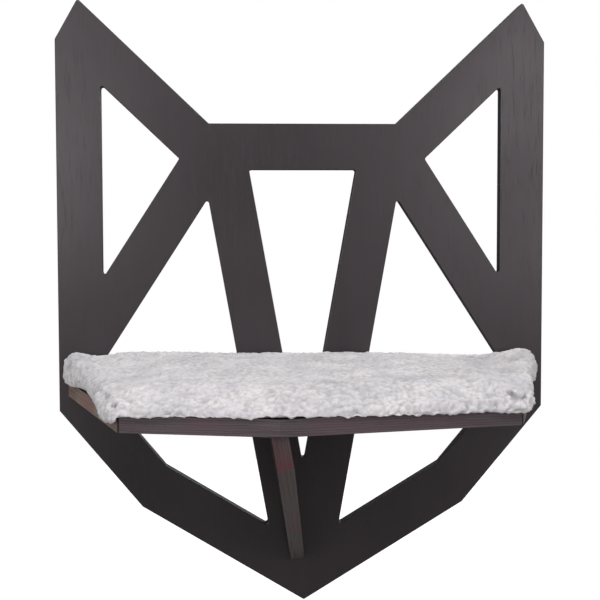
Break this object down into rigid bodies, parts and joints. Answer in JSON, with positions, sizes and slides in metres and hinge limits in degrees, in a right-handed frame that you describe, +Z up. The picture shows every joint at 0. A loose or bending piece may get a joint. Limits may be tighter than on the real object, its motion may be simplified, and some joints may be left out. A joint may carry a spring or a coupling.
{
  "type": "cat wall shelf",
  "caption": "Wall shelf for a cat: dark plywood board cut as a cat's head with a five-sided shelf across it, an upright gusset below and a removable fleece pad.",
  "frame": {"origin": "in the plane of the wall, at the centre of the rectangle of the four wall hangers' entry holes", "axes": "+X to the right as seen from the room, +Y into the wall, +Z up"},
  "size_m": [0.5, 0.2898, 0.6175],
  "materials": {
    "frame_ply": "satin stain, near black with a purple-brown cast",
    "shelf_ply": "satin stain over layered plywood edges",
    "zinc_steel": "bright zinc",
    "beech": "raw beech",
    "hook_tape": "matt woven tape",
    "base_cloth": "plain weave",
    "foam": "open-cell foam",
    "fleece": "short fuzzy pile"
  },
  "bodies": {
    "wall_frame": {"frame_board": "frame_ply", "shelf_board": "shelf_ply", "gusset": "shelf_ply", "shelf_bolts": "zinc_steel", "shelf_barrel_nuts": "zinc_steel", "shelf_dowels": "beech", "gusset_bolts": "zinc_steel", "gusset_barrel_nuts": "zinc_steel", "gusset_dowel": "beech", "gusset_top_screws": "zinc_steel", "hanger_plates": "zinc_steel", "hanger_screws": "zinc_steel", "shelf_hook_tapes": "hook_tape"},
    "pad": {"pad_loop_tapes": "hook_tape", "pad_base_cloth": "base_cloth", "pad_foam": "foam", "pad_cover": "fleece"}
  },
  "joints": [
    {"name": "pad_lift", "type": "slide", "parent": "wall_frame", "child": "pad", "axis": [0, 0, 1], "range_m": [0, 0.12]}
  ]
}
